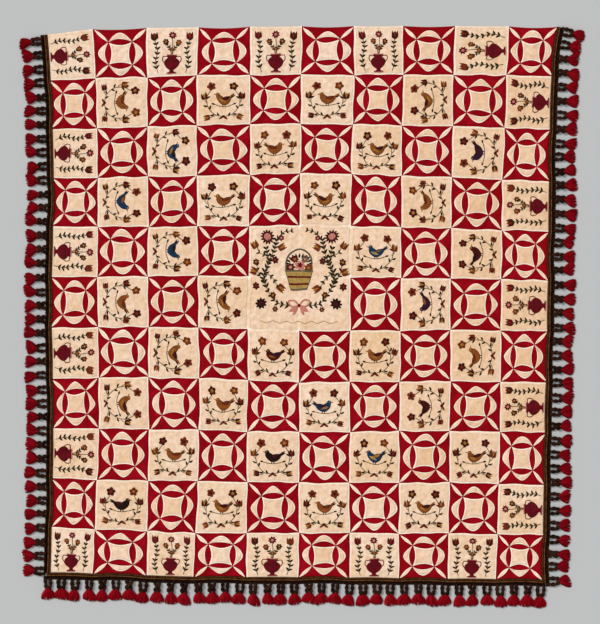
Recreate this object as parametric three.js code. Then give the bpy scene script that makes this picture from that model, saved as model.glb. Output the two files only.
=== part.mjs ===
// A pictorial quilt laid out flat. The quilted sheet is ten blocks across and eleven down. A woven braid
// and a looped wool fringe run down its left side, along its bottom and up its right side.
// Millimetres, +X across, +Y towards the plain top edge, +Z up, with the floor at Z = 0.
// The origin is on the floor, under the middle of the whole quilt.

import * as THREE from "three";

// The sheet
const COLUMNS = 10;
const ROWS = 11;
const BLOCK_PITCH = 225; // nine-inch blocks, drawn in a little by the quilting
const STEPS_PER_BLOCK = 3; // facets along each side of a block
const SEAM_THICKNESS = 2.5;
const CROWN_RISE = 3; // how far a block's middle puffs up above its seams
const CROWN_UNEVENNESS = 0.6;

// How far each seam strays from the even grid: to the right for a seam that runs down the sheet,
// and towards the top edge for a seam that runs across it
const COLUMN_SEAM_PLACES = [0, 1, 3, 5.5, 8, 11]; // rows down from the top edge
const COLUMN_SEAMS = [
  { top: -7, first: 7, high: 21, middle: 11, low: 19, bottom: 7 },
  { top: -26, first: -12, high: -4, middle: -4, low: 2, bottom: -27 },
  { top: -10, first: -9, high: -5, middle: -4, low: -1, bottom: -9 },
  { top: -2, first: -11, high: -10, middle: -5, low: 0, bottom: -26 },
  { top: 2, first: 3, high: 0, middle: -6, low: -12, bottom: -14 },
  { top: 8, first: 6, high: 2, middle: -6, low: -4, bottom: -8 },
  { top: 15, first: 17, high: 3, middle: -2, low: -5, bottom: -4 },
  { top: 10, first: 10, high: 3, middle: 0, low: -7, bottom: -9 },
  { top: 18, first: 10, high: 3, middle: -3, low: -7, bottom: -15 },
  { top: 32, first: 25, high: 5, middle: -2, low: -8, bottom: -27 },
  { top: 27, first: 2, high: -9, middle: -15, low: -28, bottom: -39 },
];
const ROW_SEAM_PLACES = [0, 1, 3, 5, 8, 10]; // columns in from the left edge
const ROW_SEAMS = [
  { left: -36, first: -12, west: -3, middle: 2, east: 3, right: -1 },
  { left: -14, first: -6, west: 7, middle: 10, east: 10, right: 3 },
  { left: -8, first: -4, west: 10, middle: 16, east: 5, right: -9 },
  { left: 0, first: 1, west: 9, middle: 20, east: 2, right: -17 },
  { left: 9, first: 7, west: 8, middle: 13, east: -1, right: -15 },
  { left: 8, first: 9, west: 13, middle: 8, east: 1, right: -8 },
  { left: 5, first: 8, west: 7, middle: -8, east: -4, right: -9 },
  { left: 4, first: 8, west: 6, middle: -11, east: -8, right: -14 },
  { left: 7, first: 6, west: 0, middle: -9, east: -5, right: -11 },
  { left: 11, first: 3, west: -3, middle: -10, east: -11, right: -21 },
  { left: 17, first: 8, west: -9, middle: -10, east: -12, right: -19 },
  { left: 34, first: 29, west: 15, middle: 13, east: 6, right: 2 },
];
const EDGE_BOW = 7; // how far the quilting draws the edge of a block in, at most

// The trim
const PIECE_GAP = 0.4;
const END_GAP = 1;
const BRAID_WIDTH = 10.6;
const BRAID_HEIGHT = 4;
const HEADING_WIDTH = 15;
const HEADING_HEIGHT = 4;
const TRIM_WIDTH = BRAID_WIDTH + HEADING_WIDTH + 2 * PIECE_GAP;
const TRIMS = [
  { side: "left", units: 39, firstUnit: 36, lastUnit: 24 },
  { side: "bottom", units: 37, firstUnit: 24, lastUnit: 24 },
  { side: "right", units: 40, firstUnit: 24, lastUnit: 36 },
];

// One unit of the fringe is a flat-lying loop with a brush-like tassel at its tip
const LOOP_LENGTH = 44;
const TASSEL_LENGTH = 50;
const UNIT_POINTS = {
  bulgeLeft: { across: -19, out: 26, height: 8 },
  bulgeRight: { across: 19, out: 26, height: 8 },
  slitTip: { across: 0, out: 31, height: 9 },
  neckLeft: { across: -6, out: LOOP_LENGTH, height: 7 },
  neckRight: { across: 6, out: LOOP_LENGTH, height: 7 },
  flareLeft: { across: -23, out: LOOP_LENGTH + 0.64 * TASSEL_LENGTH, height: 4 },
  tipLeft: { across: -14, out: LOOP_LENGTH + TASSEL_LENGTH, height: 3 },
  tipRight: { across: 14, out: LOOP_LENGTH + TASSEL_LENGTH, height: 3 },
  flareRight: { across: 23, out: LOOP_LENGTH + 0.64 * TASSEL_LENGTH, height: 4 },
  ridge: { across: 0, out: LOOP_LENGTH + 0.55 * TASSEL_LENGTH, height: 13 },
};
const HEADING_POINTS = [
  { name: "rootLeft", across: -17 },
  { name: "slitLeft", across: -5 },
  { name: "slitRight", across: 5 },
  { name: "rootRight", across: 17 },
];
const UNIT_FACES = [
  ["rootLeft", "slitLeft", "slitTip"],
  ["rootLeft", "slitTip", "bulgeLeft"],
  ["bulgeLeft", "slitTip", "neckLeft"],
  ["slitRight", "rootRight", "bulgeRight"],
  ["slitRight", "bulgeRight", "slitTip"],
  ["slitTip", "bulgeRight", "neckRight"],
  ["slitTip", "neckRight", "neckLeft"],
  ["neckLeft", "neckRight", "ridge"],
  ["neckRight", "flareRight", "ridge"],
  ["flareRight", "tipRight", "ridge"],
  ["tipRight", "tipLeft", "ridge"],
  ["tipLeft", "flareLeft", "ridge"],
  ["flareLeft", "neckLeft", "ridge"],
];
const UNIT_SHIFT = 3.5; // how far a unit stands from its even place along the edge
const UNIT_LEAN = 0.03; // how far its tip leans, as a share of its length
const UNIT_STRETCH = 0.06; // how much its length and width vary

const FINISHES = {
  cloth: new THREE.MeshStandardMaterial({ color: "#e6cfae", roughness: 0.95, metalness: 0 }),
  braid: new THREE.MeshStandardMaterial({ color: "#6b4426", roughness: 0.85, metalness: 0 }),
  fringe: new THREE.MeshStandardMaterial({ color: "#8e0a1c", roughness: 0.9, metalness: 0 }),
};

// A steady unevenness between -1 and 1
function wobble(index, seed) {
  return 0.6 * Math.sin(2.4 * index + seed) + 0.4 * Math.sin(5.3 * index + 1.7 * seed);
}

// A smooth curve through the values at the given places
function along(places, values, place) {
  const slope = (i) => {
    const before = Math.max(i - 1, 0);
    const after = Math.min(i + 1, places.length - 1);
    return (values[after] - values[before]) / (places[after] - places[before]);
  };
  let i = 0;
  while (i < places.length - 2 && place > places[i + 1]) i += 1;
  const span = places[i + 1] - places[i];
  const t = (place - places[i]) / span;
  const rise = values[i + 1] - values[i];
  return (
    values[i] +
    t * t * (3 - 2 * t) * rise +
    t * (1 - t) * (1 - t) * span * slope(i) -
    t * t * (1 - t) * span * slope(i + 1)
  );
}

// The value between two neighbouring seams
function between(seams, places, across, down) {
  const first = Math.min(Math.floor(across), seams.length - 2);
  const here = along(places, Object.values(seams[first]), down);
  const next = along(places, Object.values(seams[first + 1]), down);
  return here + (across - first) * (next - here);
}

// How far the edge of a block is drawn in at a place along it: red blocks stand in every other place
function bow(place, offset) {
  const block = Math.floor(place) + offset;
  const share = block % 2 === 0 ? 0.2 : 0.8;
  const middle = Math.sin(Math.PI * (place % 1));
  return EDGE_BOW * middle * (share + 0.2 * wobble(block, offset));
}

// A point of the sheet in plan, at so many blocks across and down
function sheetPoint(across, down) {
  let x = (across - COLUMNS / 2) * BLOCK_PITCH + between(COLUMN_SEAMS, COLUMN_SEAM_PLACES, across, down);
  let y = (ROWS / 2 - down) * BLOCK_PITCH + between(ROW_SEAMS, ROW_SEAM_PLACES, down, across);
  x += Math.max(0, 1 - across) * bow(down, 0);
  x -= Math.max(0, across - COLUMNS + 1) * bow(down, 1);
  y -= Math.max(0, 1 - down) * bow(across, 0);
  y += Math.max(0, down - ROWS + 1) * bow(across, 2);
  return new THREE.Vector2(x, y);
}

// The thickness of the sheet: thin along the seams, puffed up in the middle of each block
function sheetHeight(across, down) {
  const puff = Math.abs(Math.sin(Math.PI * across) * Math.sin(Math.PI * down));
  const rise = CROWN_RISE + CROWN_UNEVENNESS * wobble(Math.floor(across) + 3.7 * Math.floor(down), 1);
  return SEAM_THICKNESS + rise * puff;
}

// A closed solid that lies on the floor: the faces of its upper side, walls down from their outer edges,
// and an underside at Z = 0, which has the same faces unless others are given
function laidSolid(name, finish, top, faces, underside = faces) {
  const positions = top.flatMap((p) => [p.x, p.y, p.z]);
  const index = [];
  const feet = new Map();
  const foot = (i) => {
    if (!feet.has(i)) {
      feet.set(i, positions.length / 3);
      positions.push(top[i].x, top[i].y, 0);
    }
    return feet.get(i);
  };
  const facingUp = ([a, b, c]) => {
    const turn =
      (top[b].x - top[a].x) * (top[c].y - top[a].y) - (top[c].x - top[a].x) * (top[b].y - top[a].y);
    return turn > 0 ? [a, b, c] : [a, c, b];
  };

  const upper = faces.map(facingUp);
  const edges = new Set();
  for (const [a, b, c] of upper) {
    index.push(a, b, c);
    edges.add(`${a} ${b}`).add(`${b} ${c}`).add(`${c} ${a}`);
  }
  for (const [a, b, c] of underside.map(facingUp)) {
    index.push(foot(a), foot(c), foot(b));
  }
  for (const edge of edges) {
    const [a, b] = edge.split(" ").map(Number);
    if (!edges.has(`${b} ${a}`)) {
      index.push(b, a, foot(a), b, foot(a), foot(b));
    }
  }

  const geometry = new THREE.BufferGeometry();
  geometry.setAttribute("position", new THREE.Float32BufferAttribute(positions, 3));
  geometry.setIndex(index);
  geometry.computeVertexNormals();
  const mesh = new THREE.Mesh(geometry, finish.clone());
  mesh.name = name;
  return mesh;
}

function quiltCloth() {
  const stepsAcross = COLUMNS * STEPS_PER_BLOCK;
  const stepsDown = ROWS * STEPS_PER_BLOCK;
  const at = (i, j) => j * (stepsAcross + 1) + i;
  const top = [];
  for (let j = 0; j <= stepsDown; j += 1) {
    for (let i = 0; i <= stepsAcross; i += 1) {
      const across = i / STEPS_PER_BLOCK;
      const down = j / STEPS_PER_BLOCK;
      const plan = sheetPoint(across, down);
      top.push(new THREE.Vector3(plan.x, plan.y, sheetHeight(across, down)));
    }
  }
  const faces = [];
  for (let j = 0; j < stepsDown; j += 1) {
    for (let i = 0; i < stepsAcross; i += 1) {
      faces.push([at(i, j), at(i + 1, j), at(i + 1, j + 1)]);
      faces.push([at(i, j), at(i + 1, j + 1), at(i, j + 1)]);
    }
  }

  const outline = [];
  for (let j = 0; j < stepsDown; j += 1) outline.push(at(0, j));
  for (let i = 0; i < stepsAcross; i += 1) outline.push(at(i, stepsDown));
  for (let j = stepsDown; j > 0; j -= 1) outline.push(at(stepsAcross, j));
  for (let i = stepsAcross; i > 0; i -= 1) outline.push(at(i, 0));
  const underside = THREE.ShapeUtils.triangulateShape(outline.map((i) => top[i]), []).map((face) =>
    face.map((corner) => outline[corner]),
  );
  return laidSolid("quilt_cloth", FINISHES.cloth, top, faces, underside);
}

// The edge of the sheet along one side, as places with their distance from the start and the direction
// that points away from the sheet. The three sides run on from each other, with the sheet on their left.
function sheetEdge(side) {
  const points = [];
  if (side === "left") {
    for (let j = 0; j <= ROWS * STEPS_PER_BLOCK; j += 1) points.push(sheetPoint(0, j / STEPS_PER_BLOCK));
  } else if (side === "bottom") {
    for (let i = 0; i <= COLUMNS * STEPS_PER_BLOCK; i += 1) {
      points.push(sheetPoint(i / STEPS_PER_BLOCK, ROWS));
    }
  } else {
    for (let j = ROWS * STEPS_PER_BLOCK; j >= 0; j -= 1) {
      points.push(sheetPoint(COLUMNS, j / STEPS_PER_BLOCK));
    }
  }
  const last = points.length - 1;
  if (side !== "left") points[0].addScaledVector(heading(points, 0), -TRIM_WIDTH);
  if (side !== "right") points[last].addScaledVector(heading(points, last), -END_GAP);

  let distance = 0;
  return points.map((point, i) => {
    if (i > 0) distance += point.distanceTo(points[i - 1]);
    const way = heading(points, i);
    return { distance, point, away: new THREE.Vector2(way.y, -way.x) };
  });
}

// The direction in which a line of points runs at one of them
function heading(points, i) {
  const before = points[Math.max(i - 1, 0)];
  const after = points[Math.min(i + 1, points.length - 1)];
  return after.clone().sub(before).normalize();
}

// A place along the sheet's edge, so far from its start and so far out from the sheet
function edgePlace(edge, distance, out) {
  let i = 0;
  while (i < edge.length - 2 && distance > edge[i + 1].distance) i += 1;
  const share = (distance - edge[i].distance) / (edge[i + 1].distance - edge[i].distance);
  const point = edge[i].point.clone().lerp(edge[i + 1].point, share);
  const away = edge[i].away.clone().lerp(edge[i + 1].away, share).normalize();
  return { point: point.addScaledVector(away, out), away };
}

// Faces that fill the strip between two lines of points, each given by its index and distance
function strip(inner, outer) {
  const faces = [];
  let i = 0;
  let o = 0;
  while (i < inner.length - 1 || o < outer.length - 1) {
    const outerNext = o < outer.length - 1 ? outer[o + 1].distance : Infinity;
    const innerNext = i < inner.length - 1 ? inner[i + 1].distance : Infinity;
    if (innerNext <= outerNext) {
      faces.push([inner[i].index, inner[i + 1].index, outer[o].index]);
      i += 1;
    } else {
      faces.push([inner[i].index, outer[o + 1].index, outer[o].index]);
      o += 1;
    }
  }
  return faces;
}

function braid(side) {
  const edge = sheetEdge(side);
  const top = [];
  const line = (out) =>
    edge.map(({ distance, point, away }) => {
      const place = point.clone().addScaledVector(away, out);
      top.push(new THREE.Vector3(place.x, place.y, BRAID_HEIGHT));
      return { distance, index: top.length - 1 };
    });
  const inner = line(PIECE_GAP);
  const outer = line(PIECE_GAP + BRAID_WIDTH);
  return laidSolid(`braid_${side}`, FINISHES.braid, top, strip(inner, outer));
}

function fringe({ side, units, firstUnit, lastUnit }) {
  const edge = sheetEdge(side);
  const length = edge[edge.length - 1].distance;
  const headingOut = TRIM_WIDTH;
  const top = [];
  const faces = [];
  const addPoint = (plan, height) => top.push(new THREE.Vector3(plan.x, plan.y, height)) - 1;

  const inner = edge.map(({ distance, point, away }) => {
    const place = point.clone().addScaledVector(away, headingOut - HEADING_WIDTH);
    return { distance, index: addPoint(place, HEADING_HEIGHT) };
  });
  const outer = [];
  const addOuter = (distance) => {
    const index = addPoint(edgePlace(edge, distance, headingOut).point, HEADING_HEIGHT);
    outer.push({ distance, index });
    return index;
  };

  addOuter(0);
  for (let unit = 0; unit < units; unit += 1) {
    const even = firstUnit + (unit * (length - firstUnit - lastUnit)) / (units - 1);
    const centre = even + UNIT_SHIFT * wobble(unit, side.length);
    const lean = UNIT_LEAN * wobble(unit, side.length + 2);
    const longer = 1 + UNIT_STRETCH * wobble(unit, side.length + 4);
    const wider = 1 + UNIT_STRETCH * wobble(unit, side.length + 6);
    const index = {};
    for (const { name, across } of HEADING_POINTS) index[name] = addOuter(centre + across);
    const { point, away } = edgePlace(edge, centre, headingOut);
    const forward = new THREE.Vector2(-away.y, away.x);
    for (const [name, { across, out, height }] of Object.entries(UNIT_POINTS)) {
      const plan = point.clone().addScaledVector(away, out * longer);
      plan.addScaledVector(forward, across * wider + out * lean);
      index[name] = addPoint(plan, height);
    }
    for (const face of UNIT_FACES) faces.push(face.map((name) => index[name]));
  }
  addOuter(length);
  faces.push(...strip(inner, outer));
  return laidSolid(`fringe_${side}`, FINISHES.fringe, top, faces);
}

const quilt = new THREE.Group();
quilt.add(quiltCloth());
for (const trim of TRIMS) quilt.add(braid(trim.side), fringe(trim));

const middle = new THREE.Box3().setFromObject(quilt).getCenter(new THREE.Vector3());
quilt.position.set(-middle.x, -middle.y, 0);
quilt.updateMatrixWorld(true);

export default quilt;
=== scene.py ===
"""A pictorial quilt laid flat on a pale floor, seen from straight above.

The sheet is ten blocks across and eleven down: red blocks pieced with a white reel, and cream blocks with
embroidery. A woven braid and a looped wool fringe run round three sides. Lengths are in millimetres until
a mesh is made, and then in metres.
"""

import math

import bpy
import numpy as np
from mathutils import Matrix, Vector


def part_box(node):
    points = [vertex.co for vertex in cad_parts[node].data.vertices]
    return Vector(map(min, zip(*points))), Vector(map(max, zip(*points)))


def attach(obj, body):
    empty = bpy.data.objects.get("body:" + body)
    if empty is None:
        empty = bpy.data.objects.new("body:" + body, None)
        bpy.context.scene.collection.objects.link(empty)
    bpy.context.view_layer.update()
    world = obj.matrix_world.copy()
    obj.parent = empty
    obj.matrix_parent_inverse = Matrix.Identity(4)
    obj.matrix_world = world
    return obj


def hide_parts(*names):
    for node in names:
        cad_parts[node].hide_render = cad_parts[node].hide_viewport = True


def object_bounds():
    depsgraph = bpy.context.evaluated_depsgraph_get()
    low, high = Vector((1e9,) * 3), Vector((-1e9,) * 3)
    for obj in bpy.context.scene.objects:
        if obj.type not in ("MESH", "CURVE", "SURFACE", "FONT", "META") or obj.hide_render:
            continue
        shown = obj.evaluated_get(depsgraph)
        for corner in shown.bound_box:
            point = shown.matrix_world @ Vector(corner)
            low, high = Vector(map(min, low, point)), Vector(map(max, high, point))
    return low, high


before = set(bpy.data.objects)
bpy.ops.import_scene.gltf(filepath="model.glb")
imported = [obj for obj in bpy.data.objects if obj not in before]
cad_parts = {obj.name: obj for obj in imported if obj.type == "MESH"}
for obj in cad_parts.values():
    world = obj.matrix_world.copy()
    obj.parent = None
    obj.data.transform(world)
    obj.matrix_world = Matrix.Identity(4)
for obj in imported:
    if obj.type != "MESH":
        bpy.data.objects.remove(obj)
cad_low, cad_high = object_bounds()

MM = 0.001
TURN = 2 * math.pi
UP = np.array([0.0, 0.0, 1.0])

# The sheet's plan: an even grid of blocks, and how far each seam strays from it
COLUMNS = 10
ROWS = 11
BLOCK = 225.0
COLUMN_SEAM_PLACES = (0, 1, 3, 5.5, 8, 11)  # rows down from the top edge
COLUMN_SEAMS = np.array([  # to the right: top, first row, high, middle, low, bottom
    (-7, 7, 21, 11, 19, 7),
    (-26, -12, -4, -4, 2, -27),
    (-10, -9, -5, -4, -1, -9),
    (-2, -11, -10, -5, 0, -26),
    (2, 3, 0, -6, -12, -14),
    (8, 6, 2, -6, -4, -8),
    (15, 17, 3, -2, -5, -4),
    (10, 10, 3, 0, -7, -9),
    (18, 10, 3, -3, -7, -15),
    (32, 25, 5, -2, -8, -27),
    (27, 2, -9, -15, -28, -39),
], float)
ROW_SEAM_PLACES = (0, 1, 3, 5, 8, 10)  # columns in from the left edge
ROW_SEAMS = np.array([  # towards the top edge: left, first column, west, middle, east, right
    (-36, -12, -3, 2, 3, -1),
    (-14, -6, 7, 10, 10, 3),
    (-8, -4, 10, 16, 5, -9),
    (0, 1, 9, 20, 2, -17),
    (9, 7, 8, 13, -1, -15),
    (8, 9, 13, 8, 1, -8),
    (5, 8, 7, -8, -4, -9),
    (4, 8, 6, -11, -8, -14),
    (7, 6, 0, -9, -5, -11),
    (11, 3, -3, -10, -11, -21),
    (17, 8, -9, -10, -12, -19),
    (34, 29, 15, 13, 6, 2),
], float)
EDGE_BOW = 7.0  # how far the quilting draws the edge of a block in, at most

# The sheet's thickness
SEAM_THICKNESS = 2.0
PUFF = 2.4
PUFF_REACH = 18.0  # how far from a seam the filling takes to rise
SEAM_RIPPLE = 0.55
RIPPLE_LENGTH = 34.0
RIPPLE_REACH = 16.0  # how far from a seam the ripples fade
PUCKER = 0.95
PUCKER_LENGTHS = (34, 75)
SWELL = 1.3
SWELL_LENGTHS = (330, 900)
SEAM_DRIFT = 2.2  # how far a seam wanders within a block
DRIFT_LENGTHS = (90, 260)
DRIFT_RISE = 0.3  # in blocks, how far in from the outer edge seams take to wander in full
HELD_EDGE = 45.0  # how far in from the outer edge the sheet is held flat
LEAST_THICKNESS = 1.0

# The trim
BRAID_WIDTH = 10.6
HEADING_WIDTH = 15.0
PIECE_GAP = 0.4
END_GAP = 1.0
TRIM_WIDTH = BRAID_WIDTH + HEADING_WIDTH + 2 * PIECE_GAP
# For each side: how many loops and tassels, how far the first and the last are from the fringe's ends, and
# how much the tassels spread and how bright they are
TRIMS = {
    "left": (39, 29, 13, 1.03, 0.1),
    "bottom": (37, 19, 8, 1.14, 0.5),
    "right": (40, 24, 16, 1.08, 0.12),
}
LOOP_LENGTH = 44.0
TASSEL_LENGTH = 50.0

random = np.random.default_rng(1832)


# Meshes

class Piece:
    """Gathers the faces of one joined mesh, in millimetres, and makes its object."""

    def __init__(self, name):
        self.name = name
        self.points = []
        self.shades = []
        self.runs = []
        self.faces = []
        self.slots = []
        self.count = 0

    def add(self, points, faces, shade=0.0, slot=0, run=(0.0, 1.0, 0.0)):
        """Points in rows of three, and faces that give their indexes.

        On a yarn, run is how far along it a point is, in mm, and the cosine and sine of the angle round it.
        On a patch of cotton it is how far in from the patch's edge, and how far along that edge.
        """
        points = np.asarray(points, float).reshape(-1, 3)
        self.points.append(points)
        self.shades.append(np.broadcast_to(np.ravel(shade), len(points)))
        self.runs.append(np.broadcast_to(np.reshape(run, (-1, 3)), points.shape))
        faces = np.asarray(faces, np.int64)
        self.faces.append(faces + self.count)
        self.slots.append(np.broadcast_to(np.asarray(slot, np.int64), len(faces)))
        self.count += len(points)

    def add_grid(self, points, shade=0.0, slot=0, wrap=False, run=(0.0, 1.0, 0.0)):
        """A net of rows and columns of points. With wrap, the last column joins the first."""
        rows, columns = points.shape[:2]
        self.add(points, net(rows, columns, wrap), shade, slot, run)

    def close_ends(self, first, stations, sides, tubes=1):
        """Caps on both ends of tubes whose rings of points begin at index first."""
        ring = np.arange(sides)
        starts = first + stations * sides * np.arange(tubes)[:, None]
        for cap in (ring, (stations - 1) * sides + ring[::-1]):
            self.faces.append(cap + starts)
            self.slots.append(np.zeros(tubes, int))

    def make(self, materials):
        """The finished object, in metres, with the points' shade and run as attributes."""
        points = np.concatenate(self.points) * MM
        mesh = bpy.data.meshes.new(self.name)
        sizes = np.concatenate([np.full(len(f), f.shape[1]) for f in self.faces])
        corners = np.concatenate([f.ravel() for f in self.faces])
        mesh.vertices.add(len(points))
        mesh.vertices.foreach_set("co", points.ravel())
        mesh.loops.add(len(corners))
        mesh.loops.foreach_set("vertex_index", corners.astype(np.int32))
        mesh.polygons.add(len(sizes))
        starts = np.concatenate([[0], np.cumsum(sizes)[:-1]])
        slots = np.concatenate(self.slots)
        for name, values in (("loop_start", starts), ("loop_total", sizes), ("material_index", slots)):
            mesh.polygons.foreach_set(name, values.astype(np.int32))
        mesh.polygons.foreach_set("use_smooth", np.full(len(sizes), True))
        for name, kind, field, values in (
            ("shade", "FLOAT", "value", self.shades), ("run", "FLOAT_VECTOR", "vector", self.runs),
        ):
            attribute = mesh.attributes.new(name, kind, "POINT")
            attribute.data.foreach_set(field, np.concatenate(values).astype(np.float32).ravel())
        mesh.update(calc_edges=True)
        mesh.validate()
        for material in materials:
            mesh.materials.append(material)
        made = bpy.data.objects.new(self.name, mesh)
        bpy.context.scene.collection.objects.link(made)
        return made


def net(rows, columns, wrap=False):
    """The four-cornered faces of a net of points."""
    i, j = np.meshgrid(np.arange(rows - 1), np.arange(columns if wrap else columns - 1), indexing="ij")
    k = (j + 1) % columns
    here, below = i * columns, (i + 1) * columns
    return np.stack([here + j, below + j, below + k, here + k], -1).reshape(-1, 4)


def round_outside(rows, columns):
    """The indexes of a net's outer points, in a round."""
    index = np.arange(rows * columns).reshape(rows, columns)
    return np.concatenate([index[:-1, 0], index[-1, :-1], index[:0:-1, -1], index[0, :0:-1]])


def from_ends(count):
    """How many places each of a row of points is from the nearer end of the row."""
    return np.minimum(np.arange(count), np.arange(count)[::-1])


def normalised(vectors):
    """The same directions, at length one."""
    return vectors / np.maximum(np.linalg.norm(vectors, axis=-1, keepdims=True), 1e-9)


def lengths_along(path):
    """How far along its path each point is."""
    steps = np.linalg.norm(np.diff(path, axis=-2), axis=-1)
    return np.concatenate([np.zeros_like(steps[..., :1]), np.cumsum(steps, -1)], -1)


def tube_rings(path, across, above, sides, twist=0.0, lobes=0.0):
    """Rings of points round paths, with a half-width across and a half-height above at each point.

    lobes says how far two plies stand out, and twist how far they are turned, in radians.
    """
    along = normalised(np.gradient(path, axis=-2))
    side = normalised(np.cross(along, UP))
    over = np.cross(side, along)
    angle = TURN * np.arange(sides) / sides
    size = 1 + lobes * np.cos(2 * (angle - np.asarray(twist)[..., None]))
    ring = (across[..., None] * np.cos(angle) * size)[..., None] * side[..., None, :]
    ring = ring + (above[..., None] * np.sin(angle) * size)[..., None] * over[..., None, :]
    return path[..., None, :] + ring


def add_tubes(piece, rings, shade=0.0):
    """Closed tubes from rings of points: many tubes, or one."""
    rings = rings.reshape((-1,) + rings.shape[-3:])
    count, stations, sides = rings.shape[:3]
    one = net(stations, sides, wrap=True)
    start = (np.arange(count) * stations * sides)[:, None, None]
    if np.size(shade) != rings[..., 0].size:  # one shade, or one for each tube
        shade = np.broadcast_to(np.reshape(shade, (-1, 1, 1)), rings.shape[:3])
    along = lengths_along(rings.mean(-2))[..., None]
    angle = TURN * np.arange(sides) / sides
    run = np.stack(np.broadcast_arrays(along, np.cos(angle), np.sin(angle)), -1)
    first = piece.count
    piece.add(rings, (one[None] + start).reshape(-1, 4), shade, run=run)
    piece.close_ends(first, stations, sides, count)


def along_yarn(distance):
    """The run of a flat band of yarn: only how far along it each point is."""
    return np.stack([distance, np.ones_like(distance), np.zeros_like(distance)], -1)


def smooth_curve(points, count):
    """So many even places along a rounded curve through a few points."""
    points = np.asarray(points, float)
    ahead = np.vstack([2 * points[0] - points[1], points, 2 * points[-1] - points[-2]])
    place = np.linspace(0, len(points) - 1, count)
    i = np.minimum(place.astype(int), len(points) - 2)
    t = (place - i)[:, None]
    a, b, c, d = ahead[i], ahead[i + 1], ahead[i + 2], ahead[i + 3]
    return 0.5 * (2 * b + (c - a) * t + (2 * a - 5 * b + 4 * c - d) * t**2 + (3 * b - a - 3 * c + d) * t**3)


# The sheet's shape

def wobble(index, seed):
    """A steady unevenness between -1 and 1."""
    return 0.6 * np.sin(2.4 * index + seed) + 0.4 * np.sin(5.3 * index + 1.7 * seed)


def place_weights(places, place):
    """How much each of the given places counts in a smooth curve at place."""
    places = np.asarray(places, float)
    last = len(places) - 1
    i = np.clip(np.searchsorted(places, place) - 1, 0, last - 1)
    span = places[i + 1] - places[i]
    t = (place - places[i]) / span
    weights = np.zeros(np.shape(place) + (last + 1,))
    rows = np.arange(len(place))
    rise = t * t * (3 - 2 * t)
    weights[rows, i] += 1 - rise
    weights[rows, i + 1] += rise
    for at, pull in ((i, t * (1 - t) ** 2 * span), (i + 1, -t * t * (1 - t) * span)):
        before, after = np.maximum(at - 1, 0), np.minimum(at + 1, last)
        pull = pull / (places[after] - places[before])
        weights[rows, after] += pull
        weights[rows, before] -= pull
    return weights


def stray(seams, places, across, down):
    """How far a point between two seams strays, from the straying of both."""
    first = np.clip(np.floor(across).astype(int), 0, len(seams) - 2)
    weights = place_weights(places, down)
    here = (weights * seams[first]).sum(-1)
    there = (weights * seams[first + 1]).sum(-1)
    return here + (across - first) * (there - here)


def bow(place, offset):
    """How far the outer edge of a block is drawn in: far for a red block, a little for a cream one."""
    block = np.floor(place) + offset
    share = np.where(block % 2 == 0, 0.2, 0.8)
    return EDGE_BOW * np.sin(np.pi * (place % 1)) * (share + 0.2 * wobble(block, offset))


def sheet_plan(across, down):
    """Where a point lies in the sheet's plan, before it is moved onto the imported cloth."""
    x = (across - COLUMNS / 2) * BLOCK + stray(COLUMN_SEAMS, COLUMN_SEAM_PLACES, across, down)
    y = (ROWS / 2 - down) * BLOCK + stray(ROW_SEAMS, ROW_SEAM_PLACES, down, across)
    x = x + np.maximum(0, 1 - across) * bow(down, 0) - np.maximum(0, across - COLUMNS + 1) * bow(down, 1)
    y = y - np.maximum(0, 1 - down) * bow(across, 0) + np.maximum(0, down - ROWS + 1) * bow(across, 2)
    return x, y


def cad_shift():
    """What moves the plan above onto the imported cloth, whose own facets are a third of a block."""
    across, down = np.meshgrid(np.linspace(0, COLUMNS, 3 * COLUMNS + 1), np.linspace(0, ROWS, 3 * ROWS + 1))
    plan = sheet_plan(across.ravel(), down.ravel())
    low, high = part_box("quilt_cloth")
    return [(low[k] + high[k]) / 2 / MM - (plan[k].min() + plan[k].max()) / 2 for k in (0, 1)]


SHIFT_X, SHIFT_Y = cad_shift()


def waves(x, y, count, shortest, longest, seed):
    """Soft even lumps: a sum of waves in all directions, between about -1 and 1."""
    draw = np.random.default_rng(seed)
    total = np.zeros_like(x)
    for _ in range(count):
        way, phase = draw.uniform(0, TURN, 2)
        length = draw.uniform(shortest, longest)
        total += np.sin(TURN * (x * math.cos(way) + y * math.sin(way)) / length + phase)
    return total / math.sqrt(count)


def to_seam(place):
    """How many blocks a place is from the nearest seam."""
    return 0.5 - np.abs(place % 1 - 0.5)


def to_outside(across, down):
    """How many blocks a place is from the sheet's outer edge."""
    return np.minimum(np.minimum(across, COLUMNS - across), np.minimum(down, ROWS - down))


def sheet_rise(across, down, x, y):
    """The height of the sheet's face: low along the seams, puffed and puckered between them."""
    to_column, to_row = to_seam(across) * BLOCK, to_seam(down) * BLOCK
    puff = (1 - np.exp(-to_column / PUFF_REACH)) * (1 - np.exp(-to_row / PUFF_REACH))
    ripple = np.exp(-to_column / RIPPLE_REACH) * np.sin(TURN * y / RIPPLE_LENGTH + 3 * np.round(across))
    ripple = ripple + np.exp(-to_row / RIPPLE_REACH) * np.sin(TURN * x / RIPPLE_LENGTH + 5 * np.round(down))
    pucker = waves(x, y, 14, *PUCKER_LENGTHS, 5) * (0.3 + 0.7 * puff)
    swell = waves(x, y, 7, *SWELL_LENGTHS, 9)
    loose = np.clip(to_outside(across, down) * BLOCK / HELD_EDGE, 0, 1)
    lumps = SEAM_RIPPLE * ripple + PUCKER * pucker + SWELL * (0.8 + 0.5 * swell)
    return np.maximum(SEAM_THICKNESS + PUFF * puff + loose * lumps, LEAST_THICKNESS)


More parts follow.
